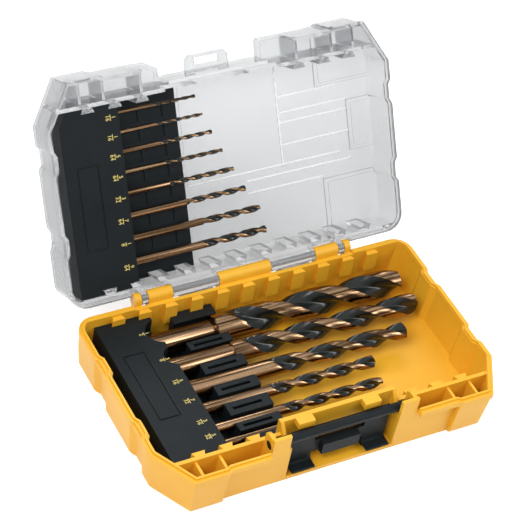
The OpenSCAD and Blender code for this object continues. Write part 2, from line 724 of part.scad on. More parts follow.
// ---- latch, hanging open ----
module latch() {
    z_tab = axle_z - latch_reach;
    z_lip = axle_z - tab_inner;
    color(black) difference() {
        union() {
            rod_x(-ear_x + 0.1, ear_x - 0.1, -axle_y, axle_z, axle_r);
            // plate
            box([latch_x - latch_w / 2, plate_front, axle_z - block_end],
                [latch_x + latch_w / 2, plate_front + latch_t, axle_z]);
            // tabs with lips that curl over the lid's roof
            for (s = [-1, 1]) {
                x0 = latch_x + s * latch_w / 2;
                x1 = latch_x + s * (latch_w / 2 - tab_w);
                box([x0, plate_front, z_tab], [x1, plate_front + latch_t, axle_z - block_end + 1]);
                bar_x(min(x0, x1), max(x0, x1), [[plate_front + 0.5, z_tab],
                    [plate_front - lip_out + 0.7, z_tab + 0.3], [plate_front - lip_out, z_tab + 1],
                    [plate_front - lip_out + 0.4, z_lip], [plate_front - 1.2, z_lip],
                    [plate_front - 0.4, z_lip + 0.5], [plate_front, z_lip + lip_t],
                    [plate_front + 0.5, z_lip + lip_t]]);
            }
            // raised block with a nose for the hasp's slot
            bar_x(latch_x - block_w / 2, latch_x + block_w / 2, [
                [plate_front + 0.5, axle_z - block_end], [plate_front - block_out, axle_z - block_end],
                [plate_front - block_out, axle_z - block_end + block_h],
                [plate_front, axle_z - slot_from_axle - latch_slot[1] - 0.2],
                [plate_front + 0.5, axle_z - slot_from_axle - latch_slot[1] - 0.2]]);
            box([latch_x - hasp_slot_w / 2 + 0.4, plate_front - 0.7, axle_z - nose_end],
                [latch_x + hasp_slot_w / 2 - 0.4, plate_front + 1, axle_z - block_end + 1]);
        }
        // the lips' corners
        for (s = [-1, 1], x = [latch_w / 2, latch_w / 2 - tab_w])
            translate([latch_x + s * x, plate_front - lip_out - 1, axle_z - latch_reach])
                rotate([0, 45, 0]) cube([lip_t, 2 * lip_out, lip_t], center = true);
        // slot under the axle
        box([latch_x - latch_slot[0] / 2, -far, axle_z - slot_from_axle - latch_slot[1]],
            [latch_x + latch_slot[0] / 2, far, axle_z - slot_from_axle]);
    }
}

// ---- racks ----
// Notches for the wall teeth in a rack whose back and front edges end at these places
module rack_notches(back_ends, front_ends) {
    for (x = back_teeth) {
        tooth(x, back_in, -1, 0, far, tooth_clear);
        notch_run_out(x, back_in, -1, back_ends);
    }
    for (x = beside_bay) {
        tooth(x, front_in, 1, 0, far, tooth_clear);
        notch_run_out(x, front_in, 1, front_ends);
    }
}

// A notch close to an end of the rack runs out through it and leaves no sliver
module notch_run_out(x, y, side, ends) {
    for (end = ends)
        if (abs(end - x) < tooth_tip_w / 2 + 1)
            box([x, y - side, 0], [end + sign(end - x), y + side * (tooth_d + tooth_clear), far]);
}

// Keeps the racks' front corner off the case's cut corner
module corner_room() {
    rotate([0, 0, 180 - atan2(chamfer_n.y, chamfer_n.x)])
        translate([chamfer_k - draft_in(floor_t) - tray_wall - fit_gap, -far, -1]) cube([far, 2 * far, far]);
}

panel_l = 10;
panel_w = 37;
panel_side = 3.4;
panel_y = 7;
bed_front = jog_back + 0.2;
bed_t = 2.2;
module panel_frame(x, y, z, depth) {
    // a plain recessed frame on the label block
    difference() {
        box([x - panel_l / 2, y - panel_w / 2, z - depth], [x + panel_l / 2, y + panel_w / 2, z + 1]);
        box([x - panel_l / 2 + 0.8, y - panel_w / 2 + 0.8, z - 2 * depth],
            [x + panel_l / 2 - 0.8, y + panel_w / 2 - 0.8, z + 2]);
    }
}

function lower_bottom(i) = rack_mouth - (i == 0 ? socket_deep_l : socket_l);

module lower_rack() {
    post_x0 = rack_end - post_l;
    color(black) difference() {
        union() {
            difference() {
                box([rack_left, rack_front, rack_z0], [rack_mouth, rack_back, rack_top]);
                // hollow underside
                box([rack_left + rack_wall, rack_front + tooth_d + rack_wall + 0.5, 0],
                    [rack_mouth - rack_wall, rack_back - tooth_d - rack_wall - 0.5, rack_top - rack_wall]);
            }
            // socket tubes inside the block
            for (i = [0 : 5])
                rod_x(lower_bottom(i) - rack_wall, rack_mouth - 1, lower_y[i], lower_axis_z,
                    min(lower_shank[i] / 2 + 1.6, rack_top - lower_axis_z - 0.3));
            // bed and clip posts
            box([rack_mouth - 0.5, bed_front, rack_z0], [rack_end, rack_back, floor_t + bed_t]);
            box([post_x0, bed_front, rack_z0], [rack_end, rack_back - 0.4, floor_t + post_h]);
        }
        for (i = [0 : 5]) {
            // socket
            rod_x(lower_bottom(i), rack_mouth + 1, lower_y[i], lower_axis_z,
                lower_shank[i] / 2 + socket_play);
            // channel between the posts, narrower at its mouth
            rod_x(rack_mouth, far, lower_y[i], lower_axis_z, lower_d[i] / 2 + 0.15);
            box([rack_mouth, lower_y[i] - lower_d[i] * 0.44, lower_axis_z],
                [far, lower_y[i] + lower_d[i] * 0.44, far]);
        }
        // slot down the middle of each post
        for (i = [0 : 4]) {
            y0 = lower_y[i] - lower_d[i] / 2;
            y1 = lower_y[i + 1] + lower_d[i + 1] / 2;
            box([post_x0 + 2.5, (y0 + y1) / 2 - 0.7, floor_t + 4], [rack_end - 4, (y0 + y1) / 2 + 0.7, far]);
        }
        // scallops that let the two largest bits tip up
        for (i = [0, 1])
            translate([rack_mouth + 1, lower_y[i] + 1.6, lower_axis_z])
                cylinder(h = far, r = lower_d[i] / 2 + 0.2);
        rack_notches([rack_left, rack_end], [rack_left, rack_mouth]);
        corner_room();
        panel_frame((rack_left + rack_mouth) / 2 - panel_side, panel_y, rack_top, 0.4);
    }
}

function upper_bottom() = upper_mouth - socket_l;

module upper_rack() {
    top = upper_bed + upper_bed_t;
    color(black) opened() difference() {
        union() {
            difference() {
                box([upper_left, rack_front, upper_face], [upper_mouth, rack_back, top]);
                // hollow side, towards the roof
                box([upper_left + rack_wall, rack_front + tooth_d + rack_wall + 0.5, upper_face + rack_wall],
                    [upper_mouth - rack_wall, rack_back - tooth_d - rack_wall - 0.5, far]);
            }
            for (i = [0 : 7])
                rod_x(upper_bottom() - rack_wall, upper_mouth - 1, upper_y[i], upper_axis,
                    upper_d[i] / 2 + 1.5);
            box([upper_mouth - 0.5, rack_front, upper_bed], [upper_end, rack_back, top]);
        }
        for (i = [0 : 7])
            rod_x(upper_bottom(), upper_mouth + 1, upper_y[i], upper_axis, upper_d[i] / 2 + socket_play);
        // shallow panels between the bits
        for (i = [0 : 6], k = [0, 1]) {
            y = (upper_y[i] + upper_y[i + 1]) / 2;
            x = upper_mouth + 2 + k * 11.5;
            box([x, y - 2.6, upper_bed - 1], [x + 10, y + 2.6, upper_bed + 0.5]);
        }
        rack_notches([upper_left, upper_end], [upper_left, upper_end]);
        corner_room();
        mirror([0, 0, 1]) panel_frame((upper_left + upper_mouth) / 2 - panel_side, panel_y, -upper_face, 0.4);
    }
}

// ---- drill bits ----
// Radius of the fluted section in steps round half a turn, as a share of the full radius
flute_12 = [1, 1, 0.78, 0.42, 0.44, 0.86];
flute_8 = [1, 0.86, 0.42, 0.6];
function flute_pts(shape, r) = let (n = len(shape))
    [for (i = [0 : 2 * n - 1]) let (a = 180 * i / n) r * shape[i % n] * [cos(a), sin(a)]];

// A bit along X with its shank's end at x = 0
module twist_drill(d, l, shank_d, step_l, plain_l, shape) {
    r = d / 2;
    fr = r - 0.03;
    point_h = r / tan(point_angle / 2);
    lap = 0.6;
    flute_l = l - plain_l + lap;
    turn = 360 * flute_l / (d * flute_pitch);
    if (step_l > 0)
        rod_x(0, step_l + 1, 0, 0, shank_d / 2);
    rod_x(step_l, plain_l, 0, 0, r);
    // the flutes, ground to a point
    difference() {
        translate([plain_l - lap, 0, 0]) rotate([0, 90, 0])
            linear_extrude(height = flute_l, twist = -turn, segments = 1,
                slices = ceil(turn / (180 / len(shape)))) polygon(flute_pts(shape, fr));
        translate([l, 0, 0]) rotate([0, 90, 0]) rotate_extrude()
            polygon([[0, 0], [r + 1, -(r + 1) * point_h / r], [r + 1, 1], [0, 1]]);
    }
}

module lower_bit(i) {
    color(bronze) translate([lower_bottom(i) + bit_gap, lower_y[i], lower_axis_z])
        twist_drill(lower_d[i], lower_len[i], lower_shank[i], lower_step[i], lower_plain[i], flute_12);
}

module upper_bit(i) {
    color(bronze) opened() translate([upper_bottom() + bit_gap, upper_y[i], upper_axis])
        twist_drill(upper_d[i], upper_len[i], upper_d[i], 0, upper_plain[i], flute_8);
}

module drill_bit_1_2_inch() { lower_bit(0); }
module drill_bit_3_8_inch() { lower_bit(1); }
module drill_bit_5_16_inch() { lower_bit(2); }
module drill_bit_7_32_inch() { lower_bit(3); }
module drill_bit_3_16_inch() { lower_bit(4); }
module drill_bit_5_32_inch() { lower_bit(5); }
module drill_bit_9_64_inch() { upper_bit(0); }
module drill_bit_1_8_inch() { upper_bit(1); }
module drill_bit_7_64_inch() { upper_bit(2); }
module drill_bit_3_32_inch() { upper_bit(3); }
module drill_bit_5_64_inch_a() { upper_bit(4); }
module drill_bit_5_64_inch_b() { upper_bit(5); }
module drill_bit_1_16_inch_a() { upper_bit(6); }
module drill_bit_1_16_inch_b() { upper_bit(7); }

base_tray();
lid_shell();
hinge_pin();
latch();
lower_rack();
upper_rack();
drill_bit_1_2_inch();
drill_bit_3_8_inch();
drill_bit_5_16_inch();
drill_bit_7_32_inch();
drill_bit_3_16_inch();
drill_bit_5_32_inch();
drill_bit_9_64_inch();
drill_bit_1_8_inch();
drill_bit_7_64_inch();
drill_bit_3_32_inch();
drill_bit_5_64_inch_a();
drill_bit_5_64_inch_b();
drill_bit_1_16_inch_a();
drill_bit_1_16_inch_b();
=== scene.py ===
"""A drill bit case with a clear hinged lid, a swing latch and fourteen twist drills."""
import math

import bpy
from mathutils import Matrix, Vector


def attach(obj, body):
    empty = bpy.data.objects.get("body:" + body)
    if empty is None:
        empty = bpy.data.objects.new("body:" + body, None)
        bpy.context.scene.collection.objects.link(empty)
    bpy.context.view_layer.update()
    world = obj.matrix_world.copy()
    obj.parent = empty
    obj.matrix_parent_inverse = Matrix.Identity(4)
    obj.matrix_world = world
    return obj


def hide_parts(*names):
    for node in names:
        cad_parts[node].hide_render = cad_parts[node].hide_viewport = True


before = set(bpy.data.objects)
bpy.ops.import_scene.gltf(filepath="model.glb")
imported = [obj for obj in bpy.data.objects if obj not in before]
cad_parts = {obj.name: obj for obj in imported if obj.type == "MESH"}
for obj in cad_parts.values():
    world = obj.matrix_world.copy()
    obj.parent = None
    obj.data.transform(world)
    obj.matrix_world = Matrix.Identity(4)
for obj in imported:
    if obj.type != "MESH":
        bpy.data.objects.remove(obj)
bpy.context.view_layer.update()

MM = 0.001
# Edges sharper than this, in degrees, stay sharp when a piece is shaded smooth
MOULDED_SHARP, GROUND_SHARP = 40, 38
# Points closer than this are one point when a mesh is merged
WELD = 2e-6
# How far a point may lie from the place that it is looked for at
NEAR = 1e-7


# ---- working by hand: selection and placing ----
def deselect_everything():
    if bpy.context.object and bpy.context.object.mode != "OBJECT":
        bpy.ops.object.mode_set(mode="OBJECT")
    bpy.ops.object.select_all(action="DESELECT")


def work_on(obj):
    deselect_everything()
    obj.select_set(True)
    bpy.context.view_layer.objects.active = obj
    return obj


def name_piece(obj, name, material=None):
    obj.name = name
    obj.data.name = name
    if material:
        obj.data.materials.clear()
        obj.data.materials.append(material)
    return obj


def apply_modifiers(obj):
    work_on(obj)
    for modifier in list(obj.modifiers):
        bpy.ops.object.modifier_apply(modifier=modifier.name)


def settle(obj):
    """Puts the piece's place, turn and size into its mesh."""
    work_on(obj)
    bpy.ops.object.transform_apply(location=True, rotation=True, scale=True)


def smooth(obj, angle):
    """Shades the piece smooth, apart from edges sharper than angle degrees."""
    work_on(obj)
    bpy.ops.object.shade_smooth_by_angle(angle=math.radians(angle))


# ---- materials ----
def shader_tree(name):
    material = bpy.data.materials.new(name)
    material.use_nodes = True
    tree = material.node_tree
    return material, tree, tree.nodes["Principled BSDF"]


def build_grain_group():
    """Fine moulded or ground grain: a height for bump, and a mask for roughness."""
    group = bpy.data.node_groups.new("surface_grain", "ShaderNodeTree")
    face = group.interface
    for socket in ("Scale", "Stretch X", "Strength", "Distance"):
        face.new_socket(name=socket, in_out="INPUT", socket_type="NodeSocketFloat")
    face.new_socket(name="Normal", in_out="OUTPUT", socket_type="NodeSocketVector")
    face.new_socket(name="Mask", in_out="OUTPUT", socket_type="NodeSocketFloat")
    entry = group.nodes.new("NodeGroupInput")
    leave = group.nodes.new("NodeGroupOutput")
    coords = group.nodes.new("ShaderNodeTexCoord")
    stretch = group.nodes.new("ShaderNodeCombineXYZ")
    stretch.inputs["Y"].default_value = 1.0
    stretch.inputs["Z"].default_value = 1.0
    scaled = group.nodes.new("ShaderNodeVectorMath")
    scaled.operation = "MULTIPLY"
    noise = group.nodes.new("ShaderNodeTexNoise")
    noise.inputs["Detail"].default_value = 3.0
    bump = group.nodes.new("ShaderNodeBump")
    link = group.links.new
    link(entry.outputs["Stretch X"], stretch.inputs["X"])
    link(coords.outputs["Object"], scaled.inputs[0])
    link(stretch.outputs["Vector"], scaled.inputs[1])
    link(scaled.outputs["Vector"], noise.inputs["Vector"])
    link(entry.outputs["Scale"], noise.inputs["Scale"])
    link(noise.outputs["Fac"], bump.inputs["Height"])
    link(entry.outputs["Strength"], bump.inputs["Strength"])
    link(entry.outputs["Distance"], bump.inputs["Distance"])
    link(bump.outputs["Normal"], leave.inputs["Normal"])
    link(noise.outputs["Fac"], leave.inputs["Mask"])
    return group


grain_group = build_grain_group()


def add_grain(tree, shader, scale, strength, distance, rough, stretch=1.0):
    """Gives the shader the grain's bump, and a roughness that varies over it as rough says."""
    grain = tree.nodes.new("ShaderNodeGroup")
    grain.node_tree = grain_group
    grain.inputs["Scale"].default_value = scale
    grain.inputs["Strength"].default_value = strength
    grain.inputs["Distance"].default_value = distance
    grain.inputs["Stretch X"].default_value = stretch
    tree.links.new(grain.outputs["Normal"], shader.inputs["Normal"])
    spread = tree.nodes.new("ShaderNodeMapRange")
    spread.inputs["To Min"].default_value = rough[0]
    spread.inputs["To Max"].default_value = rough[1]
    tree.links.new(grain.outputs["Mask"], spread.inputs["Value"])
    tree.links.new(spread.outputs["Result"], shader.inputs["Roughness"])


def set_ramp(ramp, first_at, first, last_at, last):
    """Sets a colour ramp's two ends, given as places and (red, green, blue)."""
    start, end = ramp.color_ramp.elements
    start.position, end.position = first_at, last_at
    start.color = (*first, 1)
    end.color = (*last, 1)


def mottled(tree, shader, dark, light, scale):
    """Slow variation of the base colour over the surface."""
    coords = tree.nodes.new("ShaderNodeTexCoord")
    noise = tree.nodes.new("ShaderNodeTexNoise")
    noise.inputs["Scale"].default_value = scale
    noise.inputs["Detail"].default_value = 4.0
    ramp = tree.nodes.new("ShaderNodeValToRGB")
    set_ramp(ramp, 0.3, dark, 0.7, light)
    tree.links.new(coords.outputs["Object"], noise.inputs["Vector"])
    tree.links.new(noise.outputs["Fac"], ramp.inputs["Fac"])
    tree.links.new(ramp.outputs["Color"], shader.inputs["Base Color"])
    return coords, noise, ramp


def streaked_with_painted_reflection(tree, shader, dark, light):
    """Grinding streaks along the piece's length, painted from dark to bright as the bands of
    reflected studio light along a drill.
    """
    coords, noise, ramp = mottled(tree, shader, dark, light, 800)
    set_ramp(ramp, 0.4, dark, 0.6, light)
    drawn = tree.nodes.new("ShaderNodeMapping")
    drawn.inputs["Scale"].default_value = (0.02, 1.0, 1.0)
    tree.links.new(coords.outputs["Object"], drawn.inputs["Vector"])
    tree.links.new(drawn.outputs["Vector"], noise.inputs["Vector"])


def make_yellow_plastic():
    material, tree, shader = shader_tree("yellow_moulded_plastic")
    mottled(tree, shader, (0.79, 0.400, 0.020), (0.83, 0.440, 0.027), 35)
    shader.inputs["Specular IOR Level"].default_value = 0.45
    add_grain(tree, shader, 2600, 0.12, 0.00006, rough=(0.34, 0.46))
    return material


def make_clear_plastic():
    material, tree, shader = shader_tree("clear_moulded_plastic")
    shader.inputs["Transmission Weight"].default_value = 0.80
    shader.inputs["IOR"].default_value = 1.3
    # the walls look greyer where they are seen edge on
    edge_on = tree.nodes.new("ShaderNodeLayerWeight")
    edge_on.inputs["Blend"].default_value = 0.35
    tint = tree.nodes.new("ShaderNodeValToRGB")
    set_ramp(tint, 0.35, (0.64, 0.65, 0.66), 0.97, (0.36, 0.375, 0.39))
    tree.links.new(edge_on.outputs["Facing"], tint.inputs["Fac"])
    tree.links.new(tint.outputs["Color"], shader.inputs["Base Color"])
    add_grain(tree, shader, 60, 0.02, 0.00002, rough=(0.03, 0.08))
    return material


def make_frosted_plastic():
    material, tree, shader = shader_tree("glowing_frosted_bead_plastic")
    mottled(tree, shader, (0.93, 0.94, 0.95), (0.97, 0.975, 0.98), 300)
    shader.inputs["Transmission Weight"].default_value = 0.3
    # painted glow: a faint white emission makes the beads lighter than the lamps alone light them
    shader.inputs["Emission Color"].default_value = (1, 1, 1, 1)
    shader.inputs["Emission Strength"].default_value = 0.16
    add_grain(tree, shader, 900, 0.05, 0.00002, rough=(0.3, 0.45))
    return material


def make_black_plastic():
    material, tree, shader = shader_tree("black_textured_plastic")
    mottled(tree, shader, (0.0050, 0.0082, 0.0100), (0.0075, 0.0115, 0.0135), 60)
    shader.inputs["Specular IOR Level"].default_value = 0.22
    add_grain(tree, shader, 3200, 0.22, 0.00006, rough=(0.42, 0.58))
    return material


def make_bronze():
    material, tree, shader = shader_tree("bronze_oxide_steel")
    # painted reflection: the streaks' dark and bright ends stand in for reflected light bands,
    # laid over the grind marks
    streaked_with_painted_reflection(tree, shader, (0.085, 0.047, 0.022), (0.50, 0.32, 0.185))
    shader.inputs["Metallic"].default_value = 1.0
    add_grain(tree, shader, 5200, 0.10, 0.00001, stretch=0.03, rough=(0.16, 0.30))
    return material


def make_black_oxide():
    material, tree, shader = shader_tree("black_oxide_steel")
    mottled(tree, shader, (0.004, 0.0065, 0.006), (0.008, 0.012, 0.011), 200)
    shader.inputs["Specular IOR Level"].default_value = 0.55
    add_grain(tree, shader, 500, 0.06, 0.00002, rough=(0.12, 0.22))
    return material


def make_pin_steel():
    material, tree, shader = shader_tree("drawn_steel_pin")
    mottled(tree, shader, (0.50, 0.51, 0.53), (0.60, 0.61, 0.63), 200)
    shader.inputs["Metallic"].default_value = 1.0
    add_grain(tree, shader, 900, 0.1, 0.00003, stretch=0.1, rough=(0.22, 0.36))
    return material


def make_label_ink():
    material, tree, shader = shader_tree("label_ink")
    mottled(tree, shader, (0.62, 0.50, 0.13), (0.80, 0.66, 0.22), 900)
    shader.inputs["Roughness"].default_value = 0.55
    return material


yellow_plastic = make_yellow_plastic()
clear_plastic = make_clear_plastic()
glowing_frosted_plastic = make_frosted_plastic()
black_plastic = make_black_plastic()
bronze = make_bronze()
black_oxide = make_black_oxide()
pin_steel = make_pin_steel()
label_ink = make_label_ink()


# ---- moulded pieces: the CAD shape with its edges rounded ----
# Edges flatter than the first angle are seams of one flat face, and edges sharper than the
# second are rounded
FLAT_ANGLE = math.radians(0.6)
EDGE_ANGLE = math.radians(34)


def rounded_moulding(node, name, body, material, edge, segments=2):
    """A merged copy of a CAD node, with its sharp edges rounded as a mould leaves them."""
    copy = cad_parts[node].copy()
    copy.data = copy.data.copy()
    copy.parent = None
    # the copy goes without the CAD node's own tags
    for key in list(copy.keys()):
        del copy[key]
    bpy.context.scene.collection.objects.link(copy)
    name_piece(copy, name, material)
    work_on(copy)
    if copy.data.has_custom_normals:
        bpy.ops.mesh.customdata_custom_splitnormals_clear()
    bpy.ops.object.mode_set(mode="EDIT")
    bpy.ops.mesh.select_all(action="SELECT")
    bpy.ops.mesh.remove_doubles(threshold=WELD)
    bpy.ops.mesh.dissolve_limited(angle_limit=FLAT_ANGLE)
    bpy.ops.mesh.vert_connect_concave()
    bpy.ops.object.mode_set(mode="OBJECT")
    rounding = copy.modifiers.new("rounding", "BEVEL")
    rounding.width = edge
    rounding.segments = segments
    rounding.limit_method = "ANGLE"
    rounding.angle_limit = EDGE_ANGLE
    rounding.miter_outer = "MITER_ARC"
    rounding.use_clamp_overlap = True
    apply_modifiers(copy)
    smooth(copy, MOULDED_SHARP)
    # broad faces stay flat and only the rounded edges shade round
    flat = copy.modifiers.new("flat", "WEIGHTED_NORMAL")
    flat.weight = 100
    flat.keep_sharp = True
    apply_modifiers(copy)
    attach(copy, body)
    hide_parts(node)
    return copy


tray = rounded_moulding("base_tray", "tray_moulding", "tray", yellow_plastic, 0.22 * MM)
lid = rounded_moulding("lid_shell", "lid_moulding", "lid", clear_plastic, 0.2 * MM)
latch = rounded_moulding("latch", "latch_moulding", "latch", black_plastic, 0.35 * MM, segments=3)
low_rack = rounded_moulding("lower_rack", "lower_rack_moulding", "tray", black_plastic, 0.15 * MM)
high_rack = rounded_moulding("upper_rack", "upper_rack_moulding", "lid", black_plastic, 0.15 * MM)

hinge_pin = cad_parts["hinge_pin"]
hinge_pin.data.materials.clear()
hinge_pin.data.materials.append(pin_steel)

# The hinge's axis, and how far the lid stands open at rest
HINGE = Vector((0, 50.0, 22.9)) * MM
OPEN_ANGLE = math.radians(120.5)
LID_OPEN = (
    Matrix.Translation(HINGE)
    @ Matrix.Rotation(-OPEN_ANGLE, 4, "X")
    @ Matrix.Translation(-HINGE)
)


def open_with_lid(obj):
    """Swings a piece made for the closed lid to where the open lid holds it."""
    obj.matrix_world = LID_OPEN @ obj.matrix_world
    settle(obj)


# ---- beads moulded on the lid's roof, inside ----
# Height of the closed roof's underside, and the beads' width, height and edge rounding, in mm
ROOF_UNDER = 38.2
BEAD_W, BEAD_H, BEAD_EDGE = 0.5, 0.22, 0.16


def roof_bead(name, start, end):
    """A low rounded bead on the roof's underside, from start to end on the closed lid."""
    middle = [(a + b) / 2 for a, b in zip(start, end)]
    reach = [max(abs(b - a), BEAD_W) for a, b in zip(start, end)]
    deselect_everything()
    bpy.ops.mesh.primitive_cube_add(
        size=1.0, location=(middle[0] * MM, middle[1] * MM, ROOF_UNDER * MM)
    )
    bead = name_piece(bpy.context.object, name, glowing_frosted_plastic)
    bpy.ops.transform.resize(value=(reach[0] * MM, reach[1] * MM, 2 * BEAD_H * MM))
    settle(bead)
    rounding = bead.modifiers.new("rounding", "BEVEL")
    rounding.width = BEAD_EDGE * MM
    rounding.segments = 3
    apply_modifiers(bead)
    smooth(bead, MOULDED_SHARP)
    open_with_lid(bead)
    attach(bead, "lid")


# Each bead's two ends (x, y) on the closed lid, in mm
ROOF_BEADS = (
    ((32.5, -33.4), (32.5, 10.6)),
    ((-14.0, 11.2), (61.0, 11.2)),
    ((33.0, -19.0), (61.0, -19.0)),
    ((33.0, -11.9), (66.5, -11.9)),
    ((33.0, -7.4), (66.5, -7.4)),
    ((33.0, 2.5), (66.5, 2.5)),
    ((14.0, 15.2), (66.5, 15.2)),
    ((14.0, 20.7), (51.5, 20.7)),
)
for k, (bead_from, bead_to) in enumerate(ROOF_BEADS):
    roof_bead("lid_bead_%d" % (k + 1), bead_from, bead_to)


# ---- twist drills ----
# Radius of a drill's section in steps round half a turn, as a share of the full radius:
# the margin, the land behind it and the flute
FLUTE = (
    1.0, 1.0, 0.965, 0.965, 0.955, 0.80, 0.62, 0.48,
    0.38, 0.34, 0.36, 0.44, 0.58, 0.76, 0.94, 1.0,
)
PRESSED = sorted(set(FLUTE) - {1.0})
WEB = PRESSED[0]
# What lies deeper than this share is flute, and black
LAND_EDGE = 0.947
ROUND = 2 * len(FLUTE)
POINT_ANGLE = math.radians(118)
TWIST_STEP = math.radians(11)
# Over the radius: how far a point may lie from the ring that it belongs to, and the least
# distance that counts
RING_BAND = 0.004
LEAST = 1e-4
# Over the diameter: the length of the flutes' run-out, and the chamfer of the shank's end
RUN_OUT = 1.25
CHAMFER = 0.08
# Length of the cone between a turned-down shank and the full diameter, and the depth of the
# groove before it
NECK = 0.35 * MM
GROOVE = 0.6 * NECK
# Direction, from +Y towards +Z, in which the flutes face the camera
FACING = math.radians(125.6)
# Half the flutes' lead of the small drills, over their diameter
UPPER_LEAD = 2.75


def select_points(obj, wanted):
    """Selects the vertices that wanted() is true for, and goes into edit mode."""
    work_on(obj)
    bpy.ops.object.mode_set(mode="EDIT")
    bpy.ops.mesh.select_mode(type="VERT")
    bpy.ops.mesh.select_all(action="DESELECT")
    bpy.ops.object.mode_set(mode="OBJECT")
    for point in obj.data.vertices:
        point.select = bool(wanted(point.co))
    bpy.ops.object.mode_set(mode="EDIT")


def off_axis(co):
    return math.hypot(co.y, co.z)


def on_ring(x, share, radius):
    """A test for the points at x whose distance from the axis is this share of the radius."""
    return lambda co: (
        abs(co.x - x) < NEAR and abs(off_axis(co) - share * radius) < RING_BAND * radius
    )


def scale_section(factor):
    """Scales what is selected across the X axis."""
    bpy.ops.transform.resize(value=(1, factor, factor), center_override=(0, 0, 0))


def turn_section(angle):
    """Turns what is selected round the X axis."""
    bpy.ops.transform.rotate(value=-angle, orient_axis="X", center_override=(0, 0, 0))


def ring(radius, name):
    """A ring of ROUND points round the X axis."""
    deselect_everything()
    bpy.ops.mesh.primitive_circle_add(vertices=ROUND, radius=radius, rotation=(0, math.pi / 2, 0))
    obj = bpy.context.object
    settle(obj)
    return name_piece(obj, name)


def fluted_ring():
    """The section of a drill of radius 1: a ring with two flutes pressed into it."""
    section = ring(1.0, "drill_section")
    for k, share in enumerate(FLUTE):
        if share == 1.0:
            continue
        pair = [section.data.vertices[i].co.copy() for i in (k, k + len(FLUTE))]
        select_points(section, lambda co: any((co - point).length < LEAST for point in pair))
        scale_section(share)
        bpy.ops.object.mode_set(mode="OBJECT")
    return section


drill_section = fluted_ring()


def turned_shank(name, rings, phase):
    """A shank turned round the X axis, its rings given as (x, radius), open at its far end."""
    at, radius = rings[0]
    obj = ring(radius, name)
    work_on(obj)
    bpy.ops.object.mode_set(mode="EDIT")
    bpy.ops.mesh.select_all(action="SELECT")
    turn_section(phase)
    bpy.ops.transform.translate(value=(at, 0, 0))
    bpy.ops.mesh.edge_face_add()
    for next_at, next_radius in rings[1:]:
        bpy.ops.mesh.extrude_region_move(
            TRANSFORM_OT_translate={"value": (next_at - at, 0, 0)}
        )
        scale_section(next_radius / radius)
        at, radius = next_at, next_radius
    bpy.ops.mesh.delete(type="ONLY_FACE")
    bpy.ops.object.mode_set(mode="OBJECT")
    return obj


def twisted_flutes(name, radius, start, end, lead, phase):
    """The fluted length of a drill, ground to a point at its far end."""
    obj = drill_section.copy()
    obj.data = obj.data.copy()
    bpy.context.scene.collection.objects.link(obj)
    name_piece(obj, name)
    point_h = radius / math.tan(POINT_ANGLE / 2)
    length = end - point_h - start
    work_on(obj)
    bpy.ops.object.mode_set(mode="EDIT")
    bpy.ops.mesh.select_all(action="SELECT")
    bpy.ops.transform.resize(value=(radius, radius, radius), center_override=(0, 0, 0))
    turn_section(phase)
    bpy.ops.transform.translate(value=(start, 0, 0))
    bpy.ops.object.mode_set(mode="OBJECT")
    twist = obj.modifiers.new("twist", "SCREW")
    twist.axis = "X"
    twist.angle = 2 * math.pi * length / lead
    twist.screw_offset = length
    twist.steps = max(4, math.ceil(twist.angle / TWIST_STEP))
    twist.render_steps = twist.steps
    twist.use_smooth_shade = False
    slice_length = length / twist.steps
    apply_modifiers(obj)
    # where the flutes begin, the grinding wheel lifts out of the steel along its own arc
    run_out = RUN_OUT * 2 * radius
    depth = radius * (1 - WEB)
    wheel = (run_out**2 + depth**2) / (2 * depth)
    for k in range(math.ceil(run_out / slice_length)):
        left = max(0.0, run_out - k * slice_length)
        lift = (wheel - math.sqrt(wheel**2 - left**2)) / radius
        if lift < LEAST:
            continue
        for share in PRESSED:
            select_points(obj, on_ring(start + k * slice_length, share, radius))
            scale_section(min(1.0, share + lift) / share)
            bpy.ops.object.mode_set(mode="OBJECT")
    # the flutes run further up the point's cone than the lands
    front = start + length
    for share in PRESSED:
        ahead = (1 - share) * point_h
        select_points(obj, on_ring(front, share, radius))
        bpy.ops.transform.translate(value=(ahead, 0, 0))
        turn_section(2 * math.pi * ahead / lead)
        bpy.ops.object.mode_set(mode="OBJECT")
    select_points(obj, lambda co: co.x > front - NEAR)
    bpy.ops.mesh.extrude_region_move(TRANSFORM_OT_translate={"value": (point_h, 0, 0)})
    bpy.ops.mesh.merge(type="CENTER")
    bpy.ops.object.mode_set(mode="OBJECT")
    tip = max(point.co.x for point in obj.data.vertices)
    select_points(obj, lambda co: co.x > tip - NEAR)
    bpy.ops.transform.translate(value=(end - tip, 0, 0))
    bpy.ops.object.mode_set(mode="OBJECT")
    return obj


